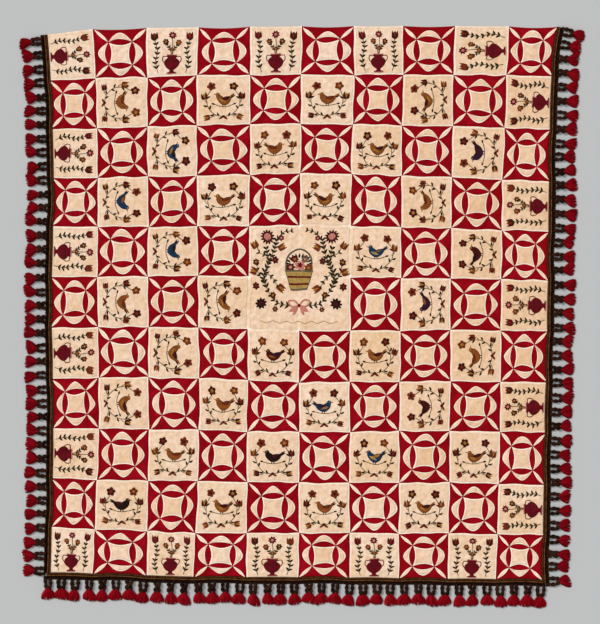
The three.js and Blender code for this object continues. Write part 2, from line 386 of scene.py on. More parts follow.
def on_sheet(across, down, lift=0.0):
    """Points on the sheet's face, at so many blocks across and down, raised by lift."""
    shape = np.shape(across)
    across, down = np.ravel(across).astype(float), np.ravel(down).astype(float)
    x, y = sheet_plan(across, down)
    z = sheet_rise(across, down, x, y) + np.ravel(np.broadcast_to(lift, shape))
    wander = SEAM_DRIFT * np.clip(to_outside(across, down) / DRIFT_RISE, 0, 1)
    drift = [wander * waves(x, y, 6, *DRIFT_LENGTHS, seed) for seed in (21, 22)]
    return np.stack([x + drift[0] + SHIFT_X, y + drift[1] + SHIFT_Y, z], -1).reshape(shape + (3,))


# Materials

def linear(hex_colour):
    """An sRGB hex colour as linear numbers."""
    parts = [int(hex_colour[i:i + 2], 16) / 255 for i in (1, 3, 5)]
    return [p / 12.92 if p <= 0.04045 else ((p + 0.055) / 1.055) ** 2.4 for p in parts] + [1.0]


def add_node(tree, kind, inputs=None, **settings):
    """A node with its settings, and its inputs as values or as links from other nodes."""
    made = tree.nodes.new(kind)
    for name, value in settings.items():
        setattr(made, name, value)
    for name, value in (inputs or {}).items():
        if isinstance(value, bpy.types.NodeSocket):
            tree.links.new(value, made.inputs[name])
        else:
            made.inputs[name].default_value = value
    return made


def blank_material(name):
    material = bpy.data.materials.new(name)
    material.use_nodes = True
    material.node_tree.nodes.clear()
    return material, material.node_tree


def finish_cloth(tree, colour, reliefs, roughness=0.95, shine=0.04):
    """The shader that all the cloths and yarns share: matt, with bumps, each a height and its depth in mm."""
    normal = {}
    for height, depth in reliefs:
        bump = add_node(tree, "ShaderNodeBump", {"Height": height, "Distance": depth * MM, **normal})
        normal = {"Normal": bump.outputs["Normal"]}
    shader = add_node(tree, "ShaderNodeBsdfPrincipled", {
        "Base Color": colour, "Roughness": roughness, "Specular IOR Level": shine, **normal})
    add_node(tree, "ShaderNodeOutputMaterial", {"Surface": shader.outputs["BSDF"]})


def mixed(tree, share, first, second):
    """A colour between two, each a hex colour or a link."""
    first = linear(first) if isinstance(first, str) else first
    second = linear(second) if isinstance(second, str) else second
    node = add_node(tree, "ShaderNodeMix", data_type="RGBA")
    for index, value in ((0, share), (6, first), (7, second)):
        if isinstance(value, bpy.types.NodeSocket):
            tree.links.new(value, node.inputs[index])
        else:
            node.inputs[index].default_value = value
    return node.outputs[2]


def layered(tree, colour, layers):
    """A colour with others over it, each as strong as its share."""
    for share, over in layers:
        colour = mixed(tree, share, colour, over)
    return colour


def clouds(tree, size_mm, detail=2.0, low=0.35, high=0.65):
    """Cloudy variation whose lumps are about size_mm wide, from 0 to 1."""
    place = add_node(tree, "ShaderNodeTexCoord").outputs["Object"]
    noise = add_node(tree, "ShaderNodeTexNoise", {
        "Vector": place, "Scale": 0.5 / (size_mm * MM), "Detail": detail, "Roughness": 0.55})
    spread = add_node(tree, "ShaderNodeMapRange", {
        "Value": noise.outputs["Fac"], "From Min": low, "From Max": high})
    return spread.outputs[0]


def shade_of(tree):
    return add_node(tree, "ShaderNodeAttribute", attribute_name="shade").outputs["Fac"]


def run_of(tree):
    """The X, Y and Z of each point's run."""
    run = add_node(tree, "ShaderNodeAttribute", attribute_name="run").outputs["Vector"]
    return add_node(tree, "ShaderNodeSeparateXYZ", {"Vector": run}).outputs


WAVE_TURN = 20.0  # how far the wave texture turns, in radians, over one unit of its scale

# Threads are really about 0.4 mm apart. They are drawn 1.6 mm apart, the finest that shows close up.
COTTON_THREAD = 1.6


def weave(tree):
    """Plain weave: warp and weft threads, each a row of rounded, slightly wavering ribs."""
    place = add_node(tree, "ShaderNodeTexCoord").outputs["Object"]
    warp, weft = (add_node(tree, "ShaderNodeTexWave", {
        "Vector": place, "Scale": TURN / (WAVE_TURN * COTTON_THREAD * MM), "Distortion": 1.2, "Detail": 1.0,
        "Detail Scale": 0.6}, wave_type="BANDS", bands_direction=way) for way in "XY")
    both = {0: warp.outputs["Fac"], 1: weft.outputs["Fac"]}
    return add_node(tree, "ShaderNodeMath", both, operation="ADD").outputs[0]


QUILTING_INSET = 9.0  # how far inside a patch's edge it is quilted
QUILTING_PITCH = 6.6  # really about 4 mm from stitch to stitch, drawn a little coarser
GROOVE = (0.0, 3.0)  # from its middle out, where the groove of the quilting begins and ends to fade
THREAD = (0.35, 0.9)  # and its thread


def quilting(tree):
    """Running stitches inside each patch's edge: how deep they draw it in, and where their thread shows."""
    parts = run_of(tree)
    away = add_node(tree, "ShaderNodeMath", {0: parts["X"], 1: QUILTING_INSET}, operation="SUBTRACT")
    away = add_node(tree, "ShaderNodeMath", {0: away.outputs[0]}, operation="ABSOLUTE").outputs[0]
    groove, narrow = (add_node(tree, "ShaderNodeMapRange", {
        "Value": away, "From Min": low, "From Max": high, "To Min": 1.0, "To Max": 0.0}).outputs[0]
        for low, high in (GROOVE, THREAD))
    turn = add_node(tree, "ShaderNodeMath", {0: parts["Y"], 1: TURN / QUILTING_PITCH}, operation="MULTIPLY")
    wave = add_node(tree, "ShaderNodeMath", {0: turn.outputs[0]}, operation="SINE").outputs[0]
    dash = add_node(tree, "ShaderNodeMapRange", {"Value": wave, "From Min": -0.3, "From Max": 0.1}).outputs[0]
    thread = add_node(tree, "ShaderNodeMath", {0: narrow, 1: dash}, operation="MULTIPLY").outputs[0]
    return groove, thread


def finish_cotton(tree, colour, relief, groove, thread):
    """The cottons' bumps: their weave, their own relief, and the quilting."""
    finish_cloth(tree, colour, [(weave(tree), 0.12), relief, (groove, -1.0), (thread, 0.5)])


def cream_cotton():
    """Unbleached plain-woven cotton, aged: warm cream, crumpled and mottled, more tanned in some blocks, with
    painted shade and highlight.
    """
    material, tree = blank_material("cream_cotton")
    tan = add_node(tree, "ShaderNodeAttribute", attribute_name="tan").outputs["Fac"]
    crumple = clouds(tree, 9, 5, 0.3, 0.7)
    # Painted shade in the hollows of the crumples
    shadow = add_node(tree, "ShaderNodeMath", {0: crumple, 1: 0.55}, operation="MULTIPLY").outputs[0]
    groove, thread = quilting(tree)
    # Painted shade along the quilting's groove
    groove_shade = add_node(tree, "ShaderNodeMath", {0: groove, 1: 0.3}, operation="MULTIPLY").outputs[0]
    # The last layer is a painted highlight along the seams and the patches' rims
    colour = layered(tree, "#F6E1CE", [
        (tan, "#E4BC94"), (clouds(tree, 130, 3, 0.45, 0.8), "#E6C29A"), (shadow, "#CC9C6A"),
        (groove_shade, "#C29A70"), (thread, "#F6E8D2"), (shade_of(tree), "#FFF5E4")])
    finish_cotton(tree, colour, (crumple, -1.8), groove, thread)
    return material


def turkey_red_cotton():
    """Plain-woven cotton dyed red with madder: deep and even, with painted shade where the seams and quilting
    draw it in.
    """
    material, tree = blank_material("turkey_red_cotton")
    groove, thread = quilting(tree)
    # Painted shade in the quilting's groove, and along the seams and round the white patches
    colour = layered(tree, "#7A030C", [
        (clouds(tree, 26, 3), "#9A0819"), (clouds(tree, 200, 2, 0.4, 0.7), "#86050D"), (groove, "#74030A"),
        (thread, "#A00C1E"), (shade_of(tree), "#7E0610")])
    finish_cotton(tree, colour, (clouds(tree, 12, 3), 0.8), groove, thread)
    return material


def ridges(tree, pitch_mm, plies=0):
    """Rounded ridges so far apart along a yarn, with sharp grooves between, wound round it with its plies."""
    parts = run_of(tree)
    angle = add_node(tree, "ShaderNodeMath", {0: parts["Z"], 1: parts["Y"]}, operation="ARCTAN2")
    wound = {0: angle.outputs[0], 1: -plies / 2, 2: clouds(tree, 12)}
    wound = add_node(tree, "ShaderNodeMath", wound, operation="MULTIPLY_ADD")
    phase = {0: parts["X"], 1: math.pi / pitch_mm, 2: wound.outputs[0]}
    phase = add_node(tree, "ShaderNodeMath", phase, operation="MULTIPLY_ADD")
    wave = add_node(tree, "ShaderNodeMath", {0: phase.outputs[0]}, operation="COSINE")
    height = add_node(tree, "ShaderNodeMath", {0: wave.outputs[0]}, operation="ABSOLUTE").outputs[0]
    crest = add_node(tree, "ShaderNodeMapRange", {"Value": height, "From Max": 0.55}).outputs[0]
    return height, crest


# Stitches are really about 0.8 mm apart. They are drawn 2.4 mm apart, so that they show close up.
STITCH_PITCH = 2.4
STITCH_SLANT = 0.7  # how far the stitches fall back along a shape on their way out from its middle


def embroidery_thread(name, hex_colour):
    """Twisted worsted thread in satin stitch: close, even stitches with a faint gloss."""
    material, tree = blank_material(name)
    darker = mixed(tree, 0.5, hex_colour, "#0A0402")
    colour = mixed(tree, clouds(tree, 7, 2, 0.4, 0.9), hex_colour, darker)
    height, crest = ridges(tree, STITCH_PITCH)
    # Painted shade in the grooves between stitches
    colour = mixed(tree, crest, darker, colour)
    finish_cloth(tree, colour, [(height, 0.9)], 0.7, 0.1)
    return material


def wool(name, dark, middle, light, lump_mm, pitch_mm, plies=0, depth_mm=0.9):
    """Wool yarn: matt and hairy, each strand its own tone from its shade, with painted shade in the grooves
    between its plies.
    """
    material, tree = blank_material(name)
    colour = mixed(tree, clouds(tree, lump_mm, 3), light, middle)
    # The shade attribute: each strand's own tone, and on some pieces painted shade and highlight too
    colour = mixed(tree, shade_of(tree), dark, colour)
    height, crest = ridges(tree, pitch_mm, plies)
    # Painted shade in the grooves between the plies and ridges
    colour = mixed(tree, crest, dark, colour)
    finish_cloth(tree, colour, [(height, depth_mm), (clouds(tree, 1.5, 4, 0.2, 0.8), 0.9)])
    return material


PLAIT_PITCH = 9.0
PLY_TWIST = 22.0  # how far along a loop its two plies take to turn half round each other
CREAM = cream_cotton()
RED = turkey_red_cotton()
BRAID_WOOL = wool("golden_brown_braid_wool", "#150704", "#653A1E", "#966436", 7, PLAIT_PITCH, 0, 1.4)
HEADING_WOOL = wool("brown_black_heading_wool", "#0C0403", "#2C170F", "#4A2C1D", 9, 4.6)
LOOP_WOOL = wool("brown_black_loop_chenille", "#060201", "#24120D", "#432619", 8, PLY_TWIST / 4, 8)
TASSEL_WOOL = wool("crimson_tassel_wool", "#66030C", "#A00918", "#B60D20", 10, 5.0, 2, 0.7)

THREADS = {
    "dark_green": "#231C0A",
    "olive": "#5E5630",
    "rust": "#7C2E12",
    "maroon": "#4C0E0A",
    "ochre": "#B0762A",
    "urn_red": "#6C0416",
    "blue": "#15395C",
    "plum": "#341430",
    "fawn": "#96501C",
    "black_brown": "#221008",
    "pink": "#D88878",
    "straw": "#BE9A52",
    "stone": "#6A5E4A",
    "tan": "#C6A276",
}
embroidery = {name: Piece("embroidery_" + name) for name in THREADS}


# The pieced sheet

# Where each block's net has its lines: close together by the seams, where the cloth dips
SEAM_LINES = (0.0, 0.018, 0.045)
INNER_LINES = 24


def net_lines(blocks):
    """The places of all the net's lines across so many blocks."""
    inner = np.linspace(SEAM_LINES[-1], 1 - SEAM_LINES[-1], INNER_LINES + 1)[1:-1]
    one = np.concatenate([SEAM_LINES, inner, 1 - np.array(SEAM_LINES[:0:-1])])
    return np.concatenate([one + k for k in range(blocks)] + [[blocks]])


BLOCKS = [(row, column) for row in range(ROWS) for column in range(COLUMNS)]
CENTRE_BLOCKS = {(4, 4), (4, 5), (5, 4), (5, 5)}
PANEL_MIDDLE = 5  # both across and down
PANEL_TAN = 0.3
BACK_TAN = 0.5


def is_red(row, column):
    return (row + column) % 2 == 1 and (row, column) not in CENTRE_BLOCKS


def tan_of(row, column):
    """How tanned a cream block is, from 0 to 1: least at the top, and most down the right side."""
    if (row, column) in CENTRE_BLOCKS:
        return PANEL_TAN
    right = np.clip((column - 5) / 3, 0, 1) * (1 - np.clip((row - 7) / 2, 0, 1))
    share = 0.33 + 0.26 * right - 0.26 * (row == 0) - 0.1 * (row == ROWS - 1)
    return float(np.clip(share + 0.12 * wobble(3 * row + 7 * column, 2), 0, 1))


def add_tan(made, tans):
    """Tells the cream cotton how tanned each face is."""
    tan = made.data.attributes.new("tan", "FLOAT", "FACE")
    tan.data.foreach_set("value", np.asarray(tans, np.float32))


def quilt_sheet():
    """The sheet itself: its pieced face, its rim and its back."""
    sheet = Piece("quilt_sheet")
    across, down = net_lines(COLUMNS), net_lines(ROWS)
    columns, rows = len(across), len(down)
    down_at, across_at = np.meshgrid(down, across, indexing="ij")
    points = on_sheet(across_at, down_at)

    # Painted light along every seam: the cream is painted lighter and the red darker, fading a few mm in
    def nearness(lines):
        return np.interp(to_seam(lines), SEAM_LINES, (1.0, 0.3, 0.0))

    shade = np.maximum(nearness(down)[:, None], nearness(across)[None, :])
    block_row = np.floor((down[:-1] + down[1:]) / 2).astype(int)
    block_column = np.floor((across[:-1] + across[1:]) / 2).astype(int)
    red, tans = (np.reshape([tell(*block) for block in BLOCKS], (ROWS, COLUMNS)) for tell in (is_red, tan_of))
    whole = np.ix_(block_row, block_column)

    # The painted highlight and shade along the seams show in full only near a red block, and faintly where
    # cream meets cream and inside the middle panel
    reach = len(SEAM_LINES)
    padded = np.pad(red[whole], reach)
    by_red = np.zeros((rows, columns), bool)
    for i in range(2 * reach):
        for j in range(2 * reach):
            by_red |= padded[i:i + rows, j:j + columns]
    shade = np.where(by_red, shade, 0.2 * shade)

    # The middle panel is quilted round its outside alone
    row_place, column_place = np.abs(down_at - PANEL_MIDDLE), np.abs(across_at - PANEL_MIDDLE)
    in_panel = (row_place < 1) & (column_place < 1)
    to_row = np.where(in_panel, 1 - row_place, to_seam(down_at)) * BLOCK
    to_column = np.where(in_panel, 1 - column_place, to_seam(across_at)) * BLOCK
    run = np.stack([np.minimum(to_row, to_column), np.maximum(to_row, to_column), np.zeros_like(to_row)], -1)
    sheet.add_grid(points[::-1], shade[::-1], red[whole][::-1].ravel().astype(int), run=run[::-1])
    face_tan = tans[whole][::-1].ravel()

    # Its rim goes straight down to the floor, and its back is one flat face
    rim = round_outside(rows, columns)
    feet = points[::-1].reshape(-1, 3)[rim] * (1, 1, 0)
    count = len(rim)
    after = (np.arange(count) + 1) % count
    first = sheet.count
    walls = np.stack([rim[after], rim, first + np.arange(count), first + after], -1)
    sheet.add(feet, walls - first)
    sheet.faces.append((first + np.arange(count))[None, ::-1])
    sheet.slots.append(np.zeros(1, int))
    made = sheet.make([CREAM, RED])
    add_tan(made, np.concatenate([face_tan, np.full(count + 1, BACK_TAN)]))
    return made


# The white reel on a red block. Places are from the block's middle, in half blocks.

REEL_CORNER = 0.462  # where the square, the crescents and the petals meet
PATCH_GAP = 0.012  # how far the square and the crescents keep from that
SQUARE_BOW = 0.105
LENS_RISE = 0.115  # of the red lens between the square and a crescent
LENS_HALF_WIDTH = 0.435
LENS_GAP = 0.03
CRESCENT_REACH = 0.385
CRESCENT_FALL = 1.95  # near 2 its outer edge is a parabola
PETAL_START = 0.49
PETAL_END = 0.95
PETAL_HALF_WIDTH = 0.07
# A petal's painted highlight along its rim, fading to its middle
PETAL_SHADES = (1.0, 0.3, 0.0)
UNEVEN_CUT = 0.022  # how far a block's patches are out of square, of their size
SQUARE_TAN = 1.3  # how tanned the square is, and the strips round it, of what a cream block there would be
STRIP_TAN = 0.95
PATCH_EDGE = 0.55  # how high a patch's edge stands over the red cloth
PATCH_PUFF = 1.1
PATCH_RIM = (0.0, 0.22, 0.5)  # a patch's first lines, in spans of its net: the painted highlight along its rim fades by the third
DITCH_WIDTH = 3.6
DITCH_DROP = 0.3
# Painted shade in the ditch round a patch, darkest at the patch's edge
DITCH_SHADES = (0.5, 0.4, 0.0)


def block_place(row, column, turn, a, b):
    """Blocks across and down, at a to the right and b up in a block whose foot is turned to a side."""
    a, b = {"down": (a, b), "left": (b, -a), "right": (-b, a)}[turn]
    return column + 0.5 + 0.5 * a, row + 0.5 - 0.5 * b


def patch(whites, row, column, a, b, tan, rim_shades=(1.0, 0.85, 0.0), lines=(0, 2.8, 6.5, 13, 91)):
    """One white patch from a net of places, puffed, with a painted highlight along its rim and a ditch round
    its edge, stitched and painted in shade.

    lines says how far in from the patch's edge its outer lines are, in mm. Gives how tanned each face is.
    """
    rows, columns = a.shape
    inward, outward = (pick.outer(from_ends(rows), from_ends(columns)) for pick in (np.minimum, np.maximum))
    run = np.stack([np.interp(k, (0, 1, 2, 3, 9), lines) for k in (inward, outward)] + [0.0 * inward], -1)
    puff = 1 - np.exp(-np.interp(inward, (0, 1, 2, 9), (0, 0.3, 0.6, 7.6)))
    across, down = block_place(row, column, "down", a, b)
    points = on_sheet(across, down, PATCH_EDGE + PATCH_PUFF * puff)
    whites.add_grid(points, np.interp(inward, (0, 1, 2), rim_shades), run=run)

    rim = round_outside(rows, columns)
    line = points.reshape(-1, 3)[rim]
    out = normalised(np.cross(np.roll(line, -1, 0) - np.roll(line, 1, 0), UP))
    lip = line + out * DITCH_WIDTH * 0.5 - UP * (PATCH_EDGE - 0.1)
    ditch = line + out * DITCH_WIDTH - UP * (PATCH_EDGE + DITCH_DROP)
    rings = np.stack([line, lip, ditch])
    whites.add(rings, net(3, len(rim), wrap=True)[:, ::-1], np.repeat(DITCH_SHADES, len(rim)), 1)
    return np.full((rows - 1) * (columns - 1) + 2 * len(rim), tan)


def rim_lines(spans, low, high):
    """Even lines across a patch, with closer ones at each edge so that its painted bright rim is narrow."""
    rim = np.array(PATCH_RIM)
    lines = np.concatenate([rim, np.arange(1, spans), spans - rim[::-1]])
    return low + (high - low) * lines / spans


def reel(whites, row, column):
    """The nine white patches of one block, cut a little unevenly. Gives how tanned each face is."""
    draw = np.random.default_rng(100 * row + column)
    uneven = np.eye(2) + draw.uniform(-UNEVEN_CUT, UNEVEN_CUT, (2, 2))
    tan = tan_of(row, column)
    s, t = np.meshgrid(rim_lines(8, -1, 1), rim_lines(8, -1, 1), indexing="ij")
    corner = REEL_CORNER - PATCH_GAP
    square = np.stack([t * (corner - SQUARE_BOW * (1 - s**2)), s * (corner - SQUARE_BOW * (1 - t**2))])
    a, b = np.einsum("ij,jkl->ikl", uneven, square)
    tans = [patch(whites, row, column, a, b, SQUARE_TAN * tan)]

    for quarter in range(4):
        way = quarter * math.pi / 2
        turn = uneven @ np.array([[math.cos(way), -math.sin(way)], [math.sin(way), math.cos(way)]])
        s, t = np.meshgrid(rim_lines(3, 0, 1), np.linspace(-1, 1, 19), indexing="ij")
        reach = CRESCENT_REACH + draw.uniform(-0.025, 0.03)
        fall = CRESCENT_FALL + draw.uniform(-0.45, 0.25)  # some crescents come to a slight point
        wide = np.sin(t * math.pi / 2 * 0.985)
        outer = np.stack([REEL_CORNER * wide, REEL_CORNER + PATCH_GAP + reach * (1 - np.abs(wide) ** fall)])
        inner = np.stack([LENS_HALF_WIDTH * t, REEL_CORNER + LENS_GAP + LENS_RISE * (1 - t**2)])
        a, b = np.einsum("ij,jkl->ikl", turn, inner + s * (outer - inner))
        tans.append(patch(whites, row, column, a[::-1], b[::-1], STRIP_TAN * tan))

        s, t = np.meshgrid(np.linspace(0, 1, 13), np.linspace(-1, 1, 5), indexing="ij")
        width = PETAL_HALF_WIDTH * draw.uniform(0.85, 1.1)
        spread = width * np.maximum(np.sin(np.pi * s), 0.04) ** 0.85
        middle = PETAL_START + s * (PETAL_END - PETAL_START)
        aside = spread * t / 1.4  # along each axis, as a petal lies on the diagonal
        a, b = np.einsum("ij,jkl->ikl", turn, np.stack([middle - aside, middle + aside]))
        tans.append(patch(whites, row, column, a, b, STRIP_TAN * tan, PETAL_SHADES, (0, 3, 6, 7, 8)))
    return tans


def reels():
    """All the white patches, as one piece."""
    whites = Piece("reel_patches")
    tans = []
    for row, column in BLOCKS:
        if is_red(row, column):
            tans += reel(whites, row, column)
    made = whites.make([CREAM, RED])
    add_tan(made, np.concatenate(tans))
    return made


# Embroidery. Places in a block are from its middle, in half blocks, with its foot at b = -1.

STITCH_EDGE = 0.35
STITCH_CROWN = 0.9
STITCH_LAYER = 0.8  # how much higher stitches over other stitches lie


def satin(thread, place, spine, widths, columns=3, over=0):
    """A raised band of satin stitch along a spine, with its half-width at each point of it.

    Its points stay as blocks across, blocks down and lift until lay_on_sheet.
    """
    way = normalised(np.gradient(spine, axis=0))
    aside = np.stack([-way[:, 1], way[:, 0]], -1)
    t = np.linspace(1, -1, columns)
    reach = np.maximum(widths, 0.04 * widths.max())[:, None] * t
    spread = spine[:, None] + aside[:, None] * reach[..., None]
    across, down = place(spread[..., 0], spread[..., 1])
    crown = STITCH_CROWN * (1 - t**2) * np.minimum(widths / widths.max(), 1.0)[:, None]
    lift = STITCH_EDGE + over * STITCH_LAYER + crown
    laid = BLOCK * np.stack([across, down], -1)
    middle = laid[:, columns // 2]
    outward = np.linalg.norm(laid - middle[:, None], axis=-1)
    run = along_yarn(lengths_along(middle)[:, None] + STITCH_SLANT * outward)
    embroidery[thread].add_grid(np.stack([across, down, lift], -1), run=run)


def lay_on_sheet(piece):
    """Turns a piece's blocks across, blocks down and lift into points on the sheet."""
    places = np.concatenate(piece.points)
    piece.points = [on_sheet(places[:, 0], places[:, 1], places[:, 2])]


def leaf(thread, place, x, y, way, length, width, bend=0.0, steps=6, blunt=0.8, over=0):
    """An almond shape that starts at a point and runs off at an angle, in degrees."""
    s = np.linspace(0, 1, steps)
    angle = math.radians(way)
    bulge = bend * length * np.sin(np.pi * s)
    spine = np.stack([
        x + length * s * math.cos(angle) - bulge * math.sin(angle),
        y + length * s * math.sin(angle) + bulge * math.cos(angle)], -1)
    satin(thread, place, spine, 0.5 * width * np.sin(np.pi * s) ** blunt, over=over)


def dot(thread, place, x, y, radius, over=0):
    """A round spot."""
    s = np.cos(np.linspace(math.pi, 0, 7))
    spine = np.stack([x + radius * s, np.full_like(s, y)], -1)
    satin(thread, place, spine, radius * np.sqrt(1 - s**2), over=over)


def stem(thread, place, points, width=0.028, steps=14, over=0):
    """A line of even width through a few points. Gives the points of its middle."""
    spine = smooth_curve(points, steps)
    satin(thread, place, spine, np.full(steps, width / 2), over=over)
    return spine


LEAF_ANGLE = 44  # between a stem and its leaves, in degrees


def leafy_stem(place, points, pairs, size=0.18, start=0.12, end=0.95, width=0.028):
    """A curved stem with leaves set in pairs along it."""
    spine = stem("olive", place, points, width, 20)
    way = np.gradient(spine, axis=0)
    for k in np.linspace(start, end, pairs):
        i = k * (len(spine) - 1)
        x, y = (np.interp(i, np.arange(len(spine)), spine[:, n]) for n in (0, 1))
        angle = math.degrees(math.atan2(way[int(i), 1], way[int(i), 0]))
        for side in (-1, 1):
            leaf("dark_green", place, x, y, angle + side * LEAF_ANGLE, size * (1 - 0.2 * k), 0.4 * size,
                 bend=side * -0.12)


def rosette(place, x, y, radius, petals, heart, count=6, turn=0.0, heart_size=0.36, ground="maroon"):
    """A round open flower: full petals over a darker ground, about a heart."""
    dot(ground, place, x, y, 0.72 * radius)
    for k in range(count):
        way = turn + 360 * k / count
        start = 0.2 * radius
        leaf(petals, place, x + start * math.cos(math.radians(way)), y + start * math.sin(math.radians(way)),
             way, 0.82 * radius, 3.9 * radius / count, steps=7, blunt=0.5, over=0.4)
    dot(heart, place, x, y, heart_size * radius, over=1)


def halves(place):
    """The two sides of a motif: the same places on its left and on its right."""
    return [lambda a, b, side=side: place(side * a, b) for side in (-1, 1)]


def turned(place, x, y, way, size):
    """Places in a motif's own frame: forward and aside, in sizes, from a point and at an angle in degrees."""
    c, s = size * math.cos(math.radians(way)), size * math.sin(math.radians(way))
    return lambda ahead, aside: place(x + ahead * c - aside * s, y + ahead * s + aside * c)


def bell(place, x, y, way, size, outer, inner):
    """A half-open flower: two curved petals about a third, with sepals at its foot."""
    own = turned(place, x, y, way, size)
    leaf(inner, own, 0.06, 0, 0, 0.86, 0.5, blunt=0.5)
    curve = smooth_curve([(0, 0.03), (0.2, 0.24), (0.56, 0.31), (1.0, 0.36)], 8)
    petal = np.array([0.05, 0.13, 0.18, 0.19, 0.17, 0.13, 0.08, 0.01])
    for side in (-1, 1):
        satin(outer, own, curve * (1, side), petal, over=0.6)
        leaf("dark_green", own, 0, 0, 72 * side, 0.5, 0.22)


def songbird(place, body, wing, x, y, facing, belly=None):
    """A small plain bird that perches level, with its tail cocked up."""
    def bird_place(a, b):
        return place(x + facing * a, y + b)

    shape = smooth_curve([(-0.27, 0.1), (-0.14, -0.02), (0.02, -0.06), (0.17, 0.05), (0.25, 0.19)], 14)
    along = np.linspace(0, 1, 14)
    width = np.interp(along, (0, 0.25, 0.5, 0.75, 0.9, 1), (0.03, 0.09, 0.13, 0.11, 0.08, 0.03))
    satin("black_brown", bird_place, shape, width + 0.02, 5)
    satin(body, bird_place, shape, width, 7, over=0.7)
    dot(body, bird_place, 0.24, 0.19, 0.085, over=0.8)
    if belly:
        leaf(belly, bird_place, -0.08, -0.1, 22, 0.32, 0.11, over=1.5)
    leaf("black_brown", bird_place, 0.12, 0.03, 164, 0.38, 0.15, bend=0.1, steps=8, over=1.4)
    leaf(wing, bird_place, 0.09, 0.03, 164, 0.31, 0.1, bend=0.1, steps=8, over=2.1)
    leaf(body, bird_place, -0.2, 0.06, 138, 0.3, 0.075, over=0.6)
    leaf("black_brown", bird_place, -0.18, 0.03, 150, 0.33, 0.07)
    leaf("ochre", bird_place, 0.31, 0.2, 4, 0.1, 0.045)
    dot("straw", bird_place, 0.26, 0.21, 0.022, over=1.6)
    for foot in (-0.02, 0.07):
        leaf("black_brown", bird_place, foot, -0.16, -97, 0.12, 0.034)


BIRDS = {  # (row, column): body, wing, belly
    (2, 2): ("blue", "dark_green", "ochre"),
    (3, 1): ("blue", "fawn", None),
    (4, 2): ("blue", "dark_green", None),
    (4, 6): ("blue", "stone", "straw"),
    (7, 5): ("blue", "plum", "ochre"),
    (8, 6): ("blue", "ochre", "straw"),
    (2, 8): ("plum", "maroon", None),
    (5, 7): ("plum", "fawn", None),
    (4, 8): ("maroon", "black_brown", None),
    (6, 4): ("maroon", "plum", "fawn"),
    (7, 7): ("maroon", "dark_green", None),
    (8, 4): ("black_brown", "maroon", None),
    (9, 1): ("black_brown", "maroon", None),
}
PLAIN_BIRDS = (("fawn", "maroon", "ochre"), ("rust", "maroon", None), ("fawn", "rust", None),
               ("rust", "dark_green", "ochre"))
BIRD_BLOOMS = (("rust", "ochre"), ("maroon", "ochre"), ("maroon", "rust"), ("rust", "maroon"))


def bird_block(place, colours, seed):
    """A bird inside an open wreath of two sprays, with flowers at their tips and sides."""
    draw = np.random.default_rng(seed)
    facing = 1 if draw.random() < 0.5 else -1
    for half in halves(place):
        wide = draw.uniform(-0.04, 0.04)
        spine = stem("olive", half, [
            (-0.04, -0.68), (0.3, -0.6), (0.58 + wide, -0.3), (0.63 + wide, 0.08), (0.46, 0.4)], steps=22)
        for i, turn in ((3, 48), (6, -48), (9, 50), (11, -48), (15, 46), (17, -46)):
            way = math.degrees(math.atan2(*(spine[i + 1] - spine[i])[::-1]))
            leaf("dark_green", half, *spine[i], way + turn, 0.18, 0.075, bend=-0.1)
        blooms = draw.permutation(4)
        rosette(half, 0.43 + draw.uniform(-0.03, 0.03), 0.55, 0.175, *BIRD_BLOOMS[blooms[0]], 5,
                draw.uniform(0, 72))
        stem("olive", half, [(0.62, -0.12), (0.7, -0.04), (0.72, 0.06)], steps=5)
        bell(half, 0.72, 0.04, draw.uniform(65, 105), 0.26, *BIRD_BLOOMS[blooms[1]])
        stem("olive", half, [(0.3, -0.6), (0.45, -0.68), (0.56, -0.66)], steps=5)
        bell(half, 0.52, -0.66, draw.uniform(-25, 15), 0.24, *BIRD_BLOOMS[blooms[2]])
        leaf("rust", half, 0.0, -0.68, -32, 0.2, 0.09)
    dot("maroon", place, 0, -0.67, 0.06, over=0.5)
    stem("olive", place, [(-0.36, -0.2), (-0.1, -0.26), (0.14, -0.25), (0.38, -0.18)], steps=10)
    leaf("dark_green", place, -0.34, -0.2, 165, 0.15, 0.07)
    leaf("dark_green", place, 0.36, -0.18, 15, 0.15, 0.07)
    songbird(place, colours[0], colours[1], -0.03 * facing, 0.0, facing, colours[2])


